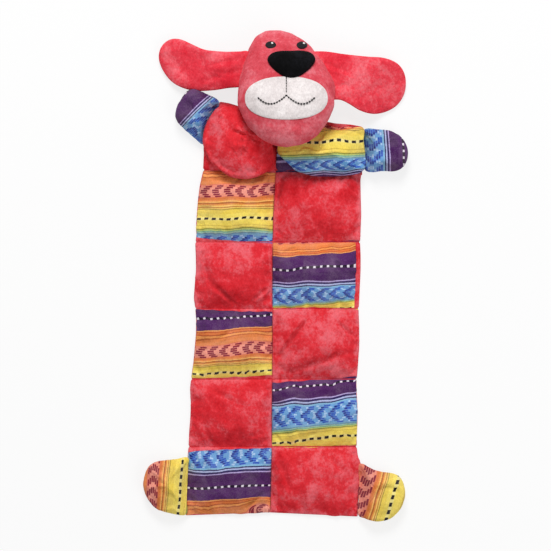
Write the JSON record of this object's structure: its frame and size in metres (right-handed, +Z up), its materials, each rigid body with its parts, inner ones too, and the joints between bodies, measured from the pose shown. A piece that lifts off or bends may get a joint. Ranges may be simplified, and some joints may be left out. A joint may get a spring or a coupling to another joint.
{
  "type": "squeaky dog toy",
  "caption": "Flat patchwork mat toy of squeaker pockets with a stuffed dog head, floppy ears, paws and feet, lying face up.",
  "frame": {"origin": "on the floor under the middle of the toy's bounding box", "axes": "+X to the right of the toy as seen face up, +Y from the feet towards the head, +Z up from the floor through the mat"},
  "size_m": [0.3279, 0.6002, 0.077],
  "materials": {
    "coral_plush": "short pile plush",
    "striped_cloth": "printed short pile cloth with woven-style stripes",
    "black_velour": "velour",
    "cream_cloth": "flat woven cloth",
    "black_thread": "satin embroidery",
    "fibre_fill": "loose polyester fibre",
    "squeaker_plastic": "thin soft plastic",
    "reed_plastic": "moulded plastic"
  },
  "bodies": {
    "row1": {"back_panel_row1": "coral_plush", "front_patch_row1_left": "coral_plush", "squeaker_bulb_row1_left": "squeaker_plastic", "front_patch_row1_right": "striped_cloth", "squeaker_bulb_row1_right": "squeaker_plastic", "chest_stuffing_left": "fibre_fill", "chest_stuffing_right": "fibre_fill"},
    "squeaker_row1_left": {"squeaker_reed_row1_left": "reed_plastic"},
    "squeaker_row1_right": {"squeaker_reed_row1_right": "reed_plastic"},
    "row2": {"back_panel_row2": "coral_plush", "front_patch_row2_left": "striped_cloth", "squeaker_bulb_row2_left": "squeaker_plastic", "front_patch_row2_right": "coral_plush", "squeaker_bulb_row2_right": "squeaker_plastic"},
    "squeaker_row2_left": {"squeaker_reed_row2_left": "reed_plastic"},
    "squeaker_row2_right": {"squeaker_reed_row2_right": "reed_plastic"},
    "row3": {"back_panel_row3": "coral_plush", "front_patch_row3_left": "coral_plush", "squeaker_bulb_row3_left": "squeaker_plastic", "front_patch_row3_right": "striped_cloth", "squeaker_bulb_row3_right": "squeaker_plastic"},
    "squeaker_row3_left": {"squeaker_reed_row3_left": "reed_plastic"},
    "squeaker_row3_right": {"squeaker_reed_row3_right": "reed_plastic"},
    "row4": {"back_panel_row4": "coral_plush", "front_patch_row4_left": "striped_cloth", "squeaker_bulb_row4_left": "squeaker_plastic", "front_patch_row4_right": "coral_plush", "squeaker_bulb_row4_right": "squeaker_plastic"},
    "squeaker_row4_left": {"squeaker_reed_row4_left": "reed_plastic"},
    "squeaker_row4_right": {"squeaker_reed_row4_right": "reed_plastic"},
    "row5": {"back_panel_row5": "coral_plush", "front_patch_row5_left": "coral_plush", "squeaker_bulb_row5_left": "squeaker_plastic", "front_patch_row5_right": "striped_cloth", "squeaker_bulb_row5_right": "squeaker_plastic"},
    "squeaker_row5_left": {"squeaker_reed_row5_left": "reed_plastic"},
    "squeaker_row5_right": {"squeaker_reed_row5_right": "reed_plastic"},
    "row6": {"back_panel_row6": "coral_plush", "front_patch_row6_left": "striped_cloth", "squeaker_bulb_row6_left": "squeaker_plastic", "front_patch_row6_right": "coral_plush", "squeaker_bulb_row6_right": "squeaker_plastic"},
    "squeaker_row6_left": {"squeaker_reed_row6_left": "reed_plastic"},
    "squeaker_row6_right": {"squeaker_reed_row6_right": "reed_plastic"},
    "head": {"head_front": "coral_plush", "head_back": "coral_plush", "head_stuffing": "fibre_fill", "muzzle_patch": "cream_cloth", "nose": "black_velour", "eye_left": "black_thread", "eye_right": "black_thread", "neck": "coral_plush"},
    "ear_left": {"ear_front_left": "coral_plush", "ear_back_left": "coral_plush"},
    "ear_right": {"ear_front_right": "coral_plush", "ear_back_right": "coral_plush"},
    "paw_left": {"paw_left": "striped_cloth"},
    "paw_right": {"paw_right": "striped_cloth"},
    "foot_left": {"foot_left": "striped_cloth"},
    "foot_right": {"foot_right": "striped_cloth"}
  },
  "joints": [
    {"name": "fold_row1_row2", "type": "hinge", "parent": "row2", "child": "row1", "pos_m": [-0.00163, 0.12861, 0.003], "axis": [1, 0, 0], "range_deg": [-110, 70]},
    {"name": "fold_row2_row3", "type": "hinge", "parent": "row3", "child": "row2", "pos_m": [-0.00163, 0.0399, 0.003], "axis": [-1, 0, 0], "range_deg": [-110, 110]},
    {"name": "fold_row3_row4", "type": "hinge", "parent": "row3", "child": "row4", "pos_m": [-0.00163, -0.04208, 0.003], "axis": [-1, 0, 0], "range_deg": [-110, 110]},
    {"name": "fold_row4_row5", "type": "hinge", "parent": "row4", "child": "row5", "pos_m": [-0.00163, -0.12891, 0.003], "axis": [1, 0, 0], "range_deg": [-110, 110]},
    {"name": "fold_row5_row6", "type": "hinge", "parent": "row5", "child": "row6", "pos_m": [-0.00163, -0.21208, 0.003], "axis": [-1, 0, 0], "range_deg": [-110, 110]},
    {"name": "neck_nod", "type": "hinge", "parent": "row1", "child": "head", "pos_m": [0.01036, 0.20364, 0.003], "axis": [1, 0, 0], "range_deg": [-70, 0]},
    {"name": "ear_left_flap", "type": "hinge", "parent": "head", "child": "ear_left", "pos_m": [-0.04463, 0.2519, 0.0257], "axis": [-0.2862, -0.9582, 0], "range_deg": [-90, 60]},
    {"name": "ear_right_flap", "type": "hinge", "parent": "head", "child": "ear_right", "pos_m": [0.06562, 0.24774, 0.02748], "axis": [-0.3642, 0.9313, 0], "range_deg": [-90, 60]},
    {"name": "paw_left_flap", "type": "hinge", "parent": "row1", "child": "paw_left", "pos_m": [-0.08244, 0.18735, 0.003], "axis": [-0.3634, -0.9316, 0], "range_deg": [-25, 75]},
    {"name": "paw_right_flap", "type": "hinge", "parent": "row1", "child": "paw_right", "pos_m": [0.1048, 0.15645, 0.003], "axis": [0, 1, 0], "range_deg": [-25, 75]},
    {"name": "foot_left_flap", "type": "hinge", "parent": "row6", "child": "foot_left", "pos_m": [-0.1123, -0.25872, 0.003], "axis": [-0.0485, -0.9988, 0], "range_deg": [-45, 75]},
    {"name": "foot_right_flap", "type": "hinge", "parent": "row6", "child": "foot_right", "pos_m": [0.10045, -0.26474, 0.003], "axis": [-0.0146, 0.9999, 0], "range_deg": [-45, 75]},
    {"name": "squeeze_row1_left", "type": "slide", "parent": "row1", "child": "squeaker_row1_left", "axis": [0, 0, -1], "range_m": [0, 0.005], "stiffness_N_per_m": 400, "deforming": ["squeaker_bulb_row1_left"]},
    {"name": "squeeze_row1_right", "type": "slide", "parent": "row1", "child": "squeaker_row1_right", "axis": [0, 0, -1], "range_m": [0, 0.005], "stiffness_N_per_m": 400, "deforming": ["squeaker_bulb_row1_right"]},
    {"name": "squeeze_row2_left", "type": "slide", "parent": "row2", "child": "squeaker_row2_left", "axis": [0, 0, -1], "range_m": [0, 0.005], "stiffness_N_per_m": 400, "deforming": ["squeaker_bulb_row2_left"]},
    {"name": "squeeze_row2_right", "type": "slide", "parent": "row2", "child": "squeaker_row2_right", "axis": [0, 0, -1], "range_m": [0, 0.005], "stiffness_N_per_m": 400, "deforming": ["squeaker_bulb_row2_right"]},
    {"name": "squeeze_row3_left", "type": "slide", "parent": "row3", "child": "squeaker_row3_left", "axis": [0, 0, -1], "range_m": [0, 0.005], "stiffness_N_per_m": 400, "deforming": ["squeaker_bulb_row3_left"]},
    {"name": "squeeze_row3_right", "type": "slide", "parent": "row3", "child": "squeaker_row3_right", "axis": [0, 0, -1], "range_m": [0, 0.005], "stiffness_N_per_m": 400, "deforming": ["squeaker_bulb_row3_right"]},
    {"name": "squeeze_row4_left", "type": "slide", "parent": "row4", "child": "squeaker_row4_left", "axis": [0, 0, -1], "range_m": [0, 0.005], "stiffness_N_per_m": 400, "deforming": ["squeaker_bulb_row4_left"]},
    {"name": "squeeze_row4_right", "type": "slide", "parent": "row4", "child": "squeaker_row4_right", "axis": [0, 0, -1], "range_m": [0, 0.005], "stiffness_N_per_m": 400, "deforming": ["squeaker_bulb_row4_right"]},
    {"name": "squeeze_row5_left", "type": "slide", "parent": "row5", "child": "squeaker_row5_left", "axis": [0, 0, -1], "range_m": [0, 0.005], "stiffness_N_per_m": 400, "deforming": ["squeaker_bulb_row5_left"]},
    {"name": "squeeze_row5_right", "type": "slide", "parent": "row5", "child": "squeaker_row5_right", "axis": [0, 0, -1], "range_m": [0, 0.005], "stiffness_N_per_m": 400, "deforming": ["squeaker_bulb_row5_right"]},
    {"name": "squeeze_row6_left", "type": "slide", "parent": "row6", "child": "squeaker_row6_left", "axis": [0, 0, -1], "range_m": [0, 0.005], "stiffness_N_per_m": 400, "deforming": ["squeaker_bulb_row6_left"]},
    {"name": "squeeze_row6_right", "type": "slide", "parent": "row6", "child": "squeaker_row6_right", "axis": [0, 0, -1], "range_m": [0, 0.005], "stiffness_N_per_m": 400, "deforming": ["squeaker_bulb_row6_right"]}
  ]
}
